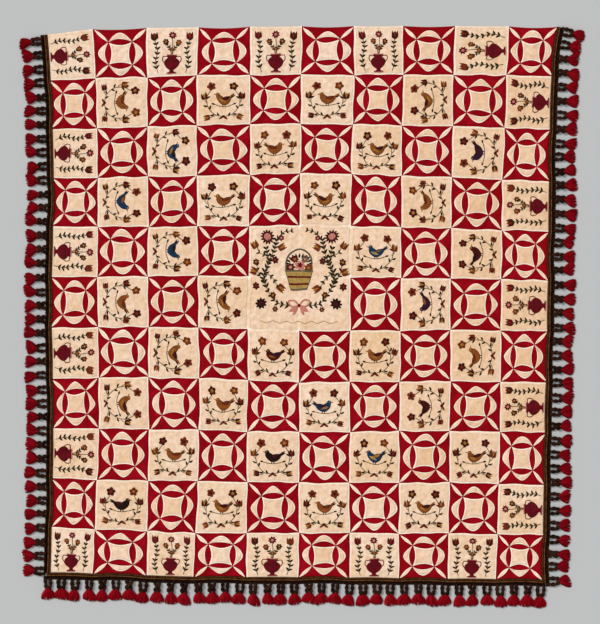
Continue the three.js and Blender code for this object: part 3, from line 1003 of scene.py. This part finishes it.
def urn_block(place, seed):
    """A dark red two-handled urn of flowers between two tall leafy sprays."""
    draw = np.random.default_rng(seed)
    heights = np.array([-0.9, -0.86, -0.82, -0.76, -0.66, -0.5, -0.36, -0.26, -0.2, -0.16])
    widths = np.array([0.18, 0.18, 0.08, 0.07, 0.2, 0.29, 0.26, 0.15, 0.17, 0.2])
    level, reach = smooth_curve(np.stack([heights, widths], -1), 25).T
    spine = np.stack([np.zeros(25), level], -1)
    satin("maroon", place, spine, reach + 0.018, 5)
    satin("urn_red", place, spine, reach, 7, over=0.7)
    stem("pink", place, [(-0.2, -0.14), (0.2, -0.14)], 0.034, 6, over=1)
    stem("pink", place, [(-0.18, -0.9), (0.18, -0.9)], 0.034, 6, over=1)
    stem("maroon", place, [(-0.25, -0.38), (0, -0.41), (0.25, -0.38)], 0.03, 8, over=1.6)
    for half in halves(place):
        stem("urn_red", half, [(0.17, -0.22), (0.34, -0.2), (0.37, -0.36), (0.27, -0.5)], 0.036, 10)
        wide = draw.uniform(-0.03, 0.03)
        leafy_stem(half, [(0.56, -0.86), (0.66 + wide, -0.42), (0.58 + wide, 0.08), (0.68, 0.52)], 7, 0.2)
        way = draw.uniform(78, 98)
        bell(half, 0.68, 0.52, way, 0.3, ("rust", "maroon", "urn_red")[draw.integers(3)], "rust")
        leafy_stem(half, [(0.02, -0.14), (0.08, 0.1), (0.24, 0.34)], 3, 0.15, start=0.35, end=0.8)
        petals = ("rust", "maroon")[draw.integers(2)]
        rosette(half, 0.25, 0.4, 0.125, petals, "ochre", 6, draw.uniform(0, 60))
    stem("olive", place, [(0, -0.14), (0.02, 0.2), (0, 0.55)], steps=12)
    rosette(place, 0, 0.1, 0.1, "rust", "ochre", 6, draw.uniform(0, 60))
    rosette(place, 0, 0.68, 0.16, "urn_red", "pink", 8, draw.uniform(0, 45), ground="black_brown")


def middle_panel():
    """A garland of leafy sprays and flowers about a basket, on four blocks without seams."""
    def place(a, b):  # in blocks from a little above the panel's middle
        return PANEL_MIDDLE + a, PANEL_MIDDLE - (b + 0.12)

    for half in halves(place):
        for points, pairs, size in (
            ([(0.16, -0.66), (0.44, -0.6), (0.62, -0.38)], 6, 0.1),
            ([(0.62, -0.38), (0.7, -0.1), (0.6, 0.16), (0.66, 0.46)], 11, 0.11),
            ([(0.6, 0.12), (0.5, 0.38), (0.46, 0.6)], 6, 0.11),
            ([(0.46, 0.6), (0.32, 0.74), (0.16, 0.78)], 4, 0.085),
            ([(0.66, -0.22), (0.8, -0.06), (0.84, 0.1)], 4, 0.09),
            ([(0.68, -0.02), (0.52, -0.14), (0.42, -0.3)], 4, 0.09),
            ([(0.64, 0.3), (0.78, 0.34), (0.84, 0.46)], 3, 0.09),
        ):
            leafy_stem(half, points, pairs, size, start=0.06, width=0.014)
        rosette(half, 0.64, 0.66, 0.145, "maroon", "pink", 13, 0, 0.5, ground="urn_red")
        rosette(half, 0.74, -0.62, 0.115, "black_brown", "maroon", 9, 0, 0.45, ground="black_brown")
        rosette(half, 0.46, -0.72, 0.055, "maroon", "ochre", 6)
        for x, y, size, petals, heart in (
            (0.86, -0.3, 0.075, "maroon", "rust"), (0.46, 0.2, 0.075, "maroon", "rust"),
            (0.86, 0.16, 0.07, "maroon", "ochre"), (0.36, 0.64, 0.06, "urn_red", "pink"),
            (0.52, -0.46, 0.065, "maroon", "ochre"),
        ):
            rosette(half, x, y, size, petals, heart, 6, 100 * x)
        for x, y, way in ((0.86, 0.44, 60), (0.4, -0.3, 215), (0.84, -0.04, 20), (0.4, 0.42, 150)):
            bell(half, x, y, way, 0.15, "rust", "ochre")
        leaf("pink", half, 0.0, -0.66, -28, 0.22, 0.08)
        leaf("pink", half, 0.02, -0.66, -62, 0.2, 0.06)
        stem("pink", half, [(0.0, -0.65), (0.1, -0.56), (0.22, -0.58), (0.14, -0.67), (0, -0.65)], 0.032, 16)
    dot("urn_red", place, 0, -0.65, 0.03, over=1)

    # The basket: straw-coloured, banded, with flowers heaped over its rim
    spine = np.stack([np.zeros(12), np.linspace(-0.36, 0.0, 12)], -1)
    satin("stone", place, spine, np.linspace(0.165, 0.265, 12), 9)
    satin("straw", place, spine, np.linspace(0.15, 0.25, 12), 9, over=1)
    for height, reach, thread in (
        (-0.35, 0.155, "stone"), (-0.25, 0.185, "urn_red"), (-0.12, 0.22, "urn_red"), (0.0, 0.26, "stone"),
    ):
        stem(thread, place, [(-reach, height), (0, height - 0.008), (reach, height)], 0.034, 10, over=2)
    stem("stone", place, [(-0.25, 0.0), (-0.21, 0.28), (0, 0.43), (0.21, 0.28), (0.25, 0.0)], 0.032, 24)
    for way in range(15, 180, 15):
        x, y = 0.18 * math.cos(math.radians(way)), 0.09 + 0.16 * math.sin(math.radians(way))
        leaf("dark_green", place, x, y, way, 0.1, 0.04)
    for x, y, size, petals, heart in (
        (-0.16, 0.07, 0.09, "maroon", "pink"), (0.02, 0.1, 0.105, "pink", "urn_red"),
        (0.18, 0.06, 0.085, "rust", "ochre"), (-0.08, 0.23, 0.075, "urn_red", "ochre"),
        (0.11, 0.23, 0.075, "stone", "pink"),
    ):
        rosette(place, x, y, size, petals, heart, 7, 10 * size)

    # A thin plain vine runs under it
    vine = [(x, -0.96 + 0.02 * (-1) ** k) for k, x in enumerate(np.linspace(-0.75, 0.75, 13))]
    stem("tan", place, vine, 0.014, 60)


def picture_place(row, column):
    """Places in a block's picture, whose foot is towards one side of the quilt."""
    if (column == 0 and row < ROWS - 1) or (column in (1, 2) and 0 < row < 8) or (row, column) == (5, 3):
        turn = "left"
    elif column == COLUMNS - 1 or (column in (7, 8) and row < 8):
        turn = "right"
    else:
        turn = "down"
    return lambda a, b: block_place(row, column, turn, a, b)


def embroider():
    """A picture in each cream block, and the middle panel: one piece for each colour of thread."""
    for row, column in BLOCKS:
        if (row + column) % 2 or (row, column) in CENTRE_BLOCKS:
            continue
        place = picture_place(row, column)
        seed = 37 * row + column
        if row in (0, ROWS - 1) or column in (0, COLUMNS - 1):
            urn_block(place, seed)
        else:
            bird_block(place, BIRDS.get((row, column), PLAIN_BIRDS[seed % 4]), seed)
    middle_panel()
    made = []
    for name, piece in embroidery.items():
        lay_on_sheet(piece)
        made.append(piece.make([embroidery_thread(name + "_thread", THREADS[name])]))
    return made


# The trim

EDGE_ENDS = {  # in blocks across and down
    "left": ((0, 0), (0, ROWS)),
    "bottom": ((0, ROWS), (COLUMNS, ROWS)),
    "right": ((COLUMNS, ROWS), (COLUMNS, 0)),
}
EDGE_STEPS = 3  # facets along a block, as the sheet's own edge in the frame
PAST_CORNER = 200.0  # how far straight on an edge's line goes, for the trim that turns the corner


class Edge:
    """One side of the sheet, as a line to set the trim along. The sheet lies on its left."""

    def __init__(self, side):
        blocks = COLUMNS if side == "bottom" else ROWS
        x, y = sheet_plan(*np.linspace(*EDGE_ENDS[side], blocks * EDGE_STEPS + 1).T)
        points = np.stack([x + SHIFT_X, y + SHIFT_Y], -1)
        self.length = lengths_along(points)[-1]
        ends = [points[i] + PAST_CORNER * normalised(points[i] - points[j]) for i, j in ((0, 1), (-1, -2))]
        self.points = np.vstack([ends[:1], points, ends[1:]])
        self.distance = lengths_along(self.points) - PAST_CORNER
        run = np.gradient(self.points, axis=0)
        run[1], run[-2] = self.points[2] - self.points[1], self.points[-2] - self.points[-3]
        run = normalised(run)
        self.away = np.stack([run[:, 1], -run[:, 0]], -1)
        self.fringe_start = 0.0 if side == "left" else -TRIM_WIDTH
        self.fringe_end = self.length - (0.0 if side == "right" else END_GAP)

    def at(self, distance, out, height):
        """Points so far along the edge and so far out from it."""
        distance, out, height = np.broadcast_arrays(distance, out, height)
        flat = distance.ravel()
        point, away = (np.stack([np.interp(flat, self.distance, of[:, k]) for k in (0, 1)], -1)
                       for of in (self.points, self.away))
        plan = point + normalised(away) * out.ravel()[:, None]
        return np.column_stack([plan, height.ravel()]).reshape(distance.shape + (3,))

    def unit(self, centre, out, lean):
        """A function that sets a fringe unit's own places on the floor: across, out and up."""
        origin = self.at(centre, out, 0.0)
        away = self.at(centre, out + 1.0, 0.0) - origin
        forward = np.cross(UP, away)

        def place(across, out_by, height):
            across, out_by, height = np.broadcast_arrays(across, out_by, height)
            across = across + lean * out_by
            return origin + across[..., None] * forward + out_by[..., None] * away + height[..., None] * UP
        return place


def band(piece, edge, ends, sides, heights, step, relief, shades, ragged=0.0, slant=0.0):
    """A closed band along an edge: its upper face has a profile and a relief, and its foot is flat.

    Its outer side can be ragged, and its yarns slant back from its middle line.
    """
    stations = int((ends[1] - ends[0]) / step) + 1
    along = np.linspace(*ends, stations)[:, None]
    share = np.linspace(0, 1, len(heights))[None, :]
    out = sides[0] + (sides[1] - sides[0]) * share
    run = along + slant * np.abs(out - (sides[0] + sides[1]) / 2)
    lump = relief(run, share)
    out = out + ragged * share**4 * (np.sin(along / 1.9) + 0.8 * np.sin(along / 4.3 + 1))
    upper = edge.at(along, out, np.asarray(heights)[None, :] + lump)
    foot = edge.at(along, np.array([sides[::-1]]), 0.0)
    rings = np.concatenate([upper, foot], 1)
    shade = np.broadcast_to(np.asarray(shades)[None, :], lump.shape)
    shade = np.concatenate([shade, np.zeros((stations, 2))], 1)
    run = np.concatenate([np.broadcast_to(run, lump.shape), np.broadcast_to(along, (stations, 2))], 1)
    first = piece.count
    piece.add_grid(rings, shade, wrap=True, run=along_yarn(run))
    piece.close_ends(first, stations, rings.shape[1])


BRAID_LAP = 5.0  # how far the braid is sewn over the cloth's edge
BRAID_COVER = 1.0  # and over the fringe's heading


def woven_braid(side, edge):
    """A flat braid of plaited wool: two rows of slanting plaits that meet in the middle."""
    braid = Piece("plaited_braid_" + side)

    def plaits(run, share):
        bump = np.abs(np.cos(np.pi * run / PLAIT_PITCH)) - 0.6
        return 0.9 * bump * np.sin(np.pi * np.clip(share, 0.1, 0.9))

    heights = (4.0, 5.8, 6.4, 5.8, 4.0, 5.8, 6.4, 5.8, 4.2)
    # Painted shade in the middle groove and at the sides, and a painted highlight on the plaits' crests; the
    # outer row is also a lighter yarn than the inner
    shades = (0.0, 0.2, 0.45, 0.15, 0.0, 0.3, 0.85, 0.35, 0.0)
    outer = PIECE_GAP + BRAID_WIDTH
    ends = (0.0 if side == "left" else -outer, edge.fringe_end)
    sides = (-BRAID_LAP, outer + BRAID_COVER)
    band(braid, edge, ends, sides, heights, PLAIT_PITCH / 4, plaits, shades, slant=0.9)
    return braid.make([BRAID_WOOL])


def fringe_heading(side, edge):
    """The fringe's woven top: dark yarns bound side by side, with a rough outer edge."""
    heading = Piece("fringe_heading_" + side)

    def yarns(run, share):
        rough = np.sin(run / 2.9) + 0.6 * np.sin(run / 1.73 + 2) + 0.5 * np.sin(run / 7.1 + 9 * share)
        return 0.5 * rough * np.sin(np.pi * np.clip(share, 0.12, 0.88))

    heights = (2.8, 3.4, 5.0, 4.0, 5.2, 4.8, 3.0)
    # Painted shade in the low places between its yarns and at its sides, lighter on the yarns' tops
    shades = (0.0, 0.0, 0.35, 0.0, 0.4, 0.45, 0.2)
    start = PIECE_GAP * 2 + BRAID_WIDTH
    # The bottom's runs on past its last corner, up to the right side's
    last = edge.length + start - END_GAP if side == "bottom" else edge.fringe_end
    ends = (edge.fringe_start, last)
    band(heading, edge, ends, (start, TRIM_WIDTH), heights, 3.4, yarns, shades, ragged=1.0)
    return heading.make([HEADING_WOOL])


PLY_RADIUS = (8.0, 5.4)  # across and up: the yarn lies a little flattened
PLY_LOBES = 0.24  # how much its two plies stand out from its round
LOOP_PLACES = (0.0, 0.25, 0.55, 0.8, 1.0)  # along a leg, from its root in the heading to the loop's tip
LOOP_HALF_WIDTHS = (11.0, 12.8, 12.4, 8.6, 0.0)
LOOP_ROOT = 7.0  # how far back into the heading the legs begin
LOOP_REACH = 39.0  # how far out the middle of its yarn goes
CROSSED_SHARE = 0.45  # of the loops, whose legs are wound round each other once
CROSSED_RISE = 2.9  # how far one leg then passes over the other, and the other under it
LOOP_LEVEL = 1.35  # the height of a leg's middle, in half-heights of its yarn


def add_loop(loops, place, longer):
    """One loop of thick chenille: a U whose two legs lie side by side or cross."""
    leg = np.linspace(0, 1, 19)
    spread = np.interp(leg, LOOP_PLACES, LOOP_HALF_WIDTHS) * random.uniform(0.85, 1.12)
    out = (-LOOP_ROOT + (LOOP_REACH + LOOP_ROOT) * np.sin(leg * math.pi / 2) ** 1.15) * longer
    crossed = random.random() < CROSSED_SHARE
    turn = np.pi * np.clip((leg - 0.12) / 0.6, 0, 1) * crossed
    sway = random.uniform(-2.5, 2.5) * np.sin(np.pi * leg)
    aside, over = spread * np.cos(turn), CROSSED_RISE * np.sin(turn)
    first, second = (np.stack([side * aside + sway, out, side * over], -1) for side in (1, -1))
    line = np.vstack([first, second[-2::-1]])
    height = LOOP_LEVEL * PLY_RADIUS[1] + line[:, 2]
    height += CROSSED_RISE * crossed * np.sin(np.pi * np.clip(line[:, 1] / 40, 0, 1))
    path = place(line[:, 0], line[:, 1], height)
    size = np.full(len(line), random.uniform(0.9, 1.05))
    twist = math.pi * lengths_along(path) / PLY_TWIST
    rings = tube_rings(path, PLY_RADIUS[0] * size, PLY_RADIUS[1] * size, 10, twist, PLY_LOBES)
    # Painted highlight: each ring's upper side is lighter; each loop also gets its own tone at random
    crest = (rings[..., 2] - path[:, None, 2]) / PLY_RADIUS[1]
    add_tubes(loops, rings, np.clip(0.35 + 0.4 * crest + random.uniform(-0.2, 0.3), 0, 1))


NECK_LAP = 6.0  # how far a tassel's neck reaches back over its loop's tip
STRAND_LAP = 5.0  # and how much longer that makes its strands
CORE_END = 0.78  # along the tassel
CORE_HALF_WIDTH = 0.8  # of the tassel's own
CORE_HEIGHT = 0.4
LOCKS = 9
STRANDS_IN_LOCK = 8
LOCK_WIDTH = 0.16  # half a lock at the neck, of half the tassel
LOWEST_STRAND = 2.6
NECK_PLACES = (-3.5, 0.0, 4.5, 8.0)
NECK_HALF_WIDTHS = (4.0, 6.4, 6.4, 5.0)
NECK_HALF_HEIGHTS = (4.0, 6.2, 6.2, 5.0)
NECK_LEVEL = 7.2
TASSEL_PLACES = (0.0, 0.12, 0.28, 0.45, 0.65, 0.82, 1.0)  # along a tassel, from its neck to its tip
TASSEL_HALF_WIDTHS = (5.5, 9.8, 15.6, 21.0, 25.2, 27.2, 26.5)
TASSEL_HEIGHTS = (10.0, 12.0, 13.0, 12.5, 10.5, 8.0, 5.0)


def add_tassel(tassels, place, longer, wider, bright):
    """A lying brush of wool: a wound neck, a soft core, and locks of loose strands about it."""
    start = (LOOP_LENGTH - NECK_LAP) * longer
    length = (TASSEL_LENGTH + STRAND_LAP) * longer
    wider = wider * random.uniform(0.88, 1.1)
    swing = random.uniform(-0.15, 0.15)

    def hang(across, out_by, height):
        return place(across + swing * np.maximum(out_by - start, 0), out_by, height)

    t = np.linspace(0.0, CORE_END, 7)
    half_width = np.interp(t, TASSEL_PLACES, TASSEL_HALF_WIDTHS) * wider * CORE_HALF_WIDTH
    height = np.interp(t, TASSEL_PLACES, TASSEL_HEIGHTS) * CORE_HEIGHT
    core = hang(np.zeros(7), start + length * t, height)
    # The core is painted dark: painted shade between the strands that lie over it
    add_tubes(tassels, tube_rings(core, half_width, height, 10), 0.1)

    neck = hang(np.zeros(4), start + np.array(NECK_PLACES), np.full(4, NECK_LEVEL))
    rings = tube_rings(neck, np.array(NECK_HALF_WIDTHS), np.array(NECK_HALF_HEIGHTS), 10)
    add_tubes(tassels, rings, 0.55)

    count = LOCKS * STRANDS_IN_LOCK
    lock = np.repeat(np.arange(LOCKS), STRANDS_IN_LOCK)[:, None]
    lock_spread = np.linspace(-0.9, 0.9, LOCKS) + random.uniform(-0.07, 0.07, LOCKS)
    lock_reach = random.uniform(0.95, 1.02, LOCKS) * (1 - 0.1 * np.abs(lock_spread) ** 3)
    lock_reach = lock_reach * (1 + random.uniform(-0.1, 0.1) * lock_spread)
    lock_level = random.uniform(0.0, 1.0, LOCKS)
    t = np.linspace(0.03, 1, 6)[None, :]
    within = random.uniform(-1, 1, (count, 1))
    spread = np.clip(lock_spread[lock] + LOCK_WIDTH * within * (1 - 0.55 * t**2), -1, 1)
    level = 0.84 + 0.1 * lock_level[lock] + random.uniform(-0.08, 0.08, (count, 1))
    reach = length * lock_reach[lock] * random.uniform(0.93, 1.02, (count, 1))
    sway = 1.6 * within * np.sin(1.6 * np.pi * t + 40 * level)
    across = spread * np.interp(t, TASSEL_PLACES, TASSEL_HALF_WIDTHS) * wider + sway
    high = np.interp(t, TASSEL_PLACES, TASSEL_HEIGHTS) * level * np.sqrt(1.1 - spread**2)
    strands = hang(across, start + t * reach, np.maximum(high, LOWEST_STRAND))
    size = np.interp(t, (0, 0.15, 0.8, 1), (0.9, 2.0, 2.4, 1.5)) * random.uniform(0.8, 1.2, (count, 1))
    tone = bright + 0.4 * lock_level[lock] + random.uniform(-0.3, 0.3, (count, 1))
    add_tubes(tassels, tube_rings(strands, size, size, 3), np.clip(tone, 0, 1))


UNIT_WOBBLE = 2.2  # how far a loop strays along the edge
UNIT_LEAN = 0.03
UNIT_UNEVENNESS = 0.06  # of its length and its width


def looped_fringe(side, edge):
    """Loops set out evenly, each with its own tassel, and a little uneven in place, lean and size."""
    units, first, last, spread, bright = TRIMS[side]
    seed = len(side)  # another one for each side
    loops = Piece("fringe_loops_" + side)
    tassels = Piece("wool_tassels_" + side)
    span = edge.fringe_end - edge.fringe_start - first - last
    for unit in range(units):
        centre = edge.fringe_start + first + unit * span / (units - 1) + UNIT_WOBBLE * wobble(unit, seed)
        lean = UNIT_LEAN * wobble(unit, seed + 2)
        longer, wider = (1 + UNIT_UNEVENNESS * wobble(unit, seed + k) for k in (4, 6))
        place = edge.unit(centre, TRIM_WIDTH, lean)
        add_loop(loops, place, longer)
        add_tassel(tassels, place, longer, spread * wider, bright)
    return loops.make([LOOP_WOOL]), tassels.make([TASSEL_WOOL])


# The floor, the light and the camera

PHOTO_PIXEL = 4.465  # millimetres of the quilt to a pixel of the photograph
PHOTO_SIZE = (600, 624)
QUILT_MIDDLE = (301.7, 317.1)  # the middle of the quilt with its fringe, in the photograph's pixels
LENS = 90.0
SENSOR = 36.0
FLOOR_REACH = 30000.0
FLOOR_LEVEL = -0.1
ROOM_LIGHT = 0.63
LAMP_LIGHT = 2.42
LAMP_WIDTH = 20  # degrees, for soft shadows
LAMP_TILT = (-28, -44, 0)  # degrees about each axis: it shines from the upper left, about 40 degrees up


def studio():
    """The pale floor, the room's even light and the lamp. Gives the floor."""
    floor_material, tree = blank_material("matt_grey_paper")
    shader = add_node(tree, "ShaderNodeBsdfPrincipled", {
        "Base Color": linear("#B6B8B8"), "Roughness": 0.95, "Specular IOR Level": 0.1})
    add_node(tree, "ShaderNodeOutputMaterial", {"Surface": shader.outputs["BSDF"]})
    floor = Piece("studio_floor")
    corners = ((-1, -1), (1, -1), (1, 1), (-1, 1))
    floor.add([(FLOOR_REACH * x, FLOOR_REACH * y, FLOOR_LEVEL) for x, y in corners], [(0, 1, 2, 3)])
    floor = floor.make([floor_material])

    world = bpy.data.worlds.new("soft_room")
    world.use_nodes = True
    background = world.node_tree.nodes["Background"]
    background.inputs["Color"].default_value = (1, 1, 1, 1)
    background.inputs["Strength"].default_value = ROOM_LIGHT
    bpy.context.scene.world = world

    lamp = bpy.data.lights.new("soft_lamp", "SUN")
    lamp.energy = LAMP_LIGHT
    lamp.angle = math.radians(LAMP_WIDTH)
    lamp.color = (1.0, 0.985, 0.96)
    lamp_object = bpy.data.objects.new("soft_lamp", lamp)
    lamp_object.rotation_euler = [math.radians(tilt) for tilt in LAMP_TILT]
    bpy.context.scene.collection.objects.link(lamp_object)
    bpy.context.scene.view_settings.view_transform = "Standard"
    return floor


def camera():
    """Straight above, with as much in view as the photograph shows, and the quilt as far from its middle."""
    seen = bpy.data.cameras.new("overhead_camera")
    seen.lens = LENS
    seen.sensor_width = SENSOR
    camera_object = bpy.data.objects.new("overhead_camera", seen)
    pixel = PHOTO_PIXEL * MM
    middle = (cad_low + cad_high) / 2
    camera_object.location = (
        middle[0] + (PHOTO_SIZE[0] / 2 - QUILT_MIDDLE[0]) * pixel,
        middle[1] - (PHOTO_SIZE[1] / 2 - QUILT_MIDDLE[1]) * pixel,
        PHOTO_SIZE[1] * pixel * LENS / SENSOR)
    bpy.context.scene.collection.objects.link(camera_object)
    bpy.context.scene.camera = camera_object


# Putting it together

camera()
floor = studio()

sheet = quilt_sheet()
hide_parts("quilt_cloth")
patches = reels()
stitched = embroider()

trim = []
for side in TRIMS:
    edge = Edge(side)
    braid = woven_braid(side, edge)
    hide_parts("braid_" + side)
    heading = fringe_heading(side, edge)
    loops, tassels = looped_fringe(side, edge)
    for piece in (heading, loops, tassels):
        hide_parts("fringe_" + side)
    trim += [braid, heading, loops, tassels]

for piece in [sheet, patches] + stitched + trim:
    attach(piece, "root")
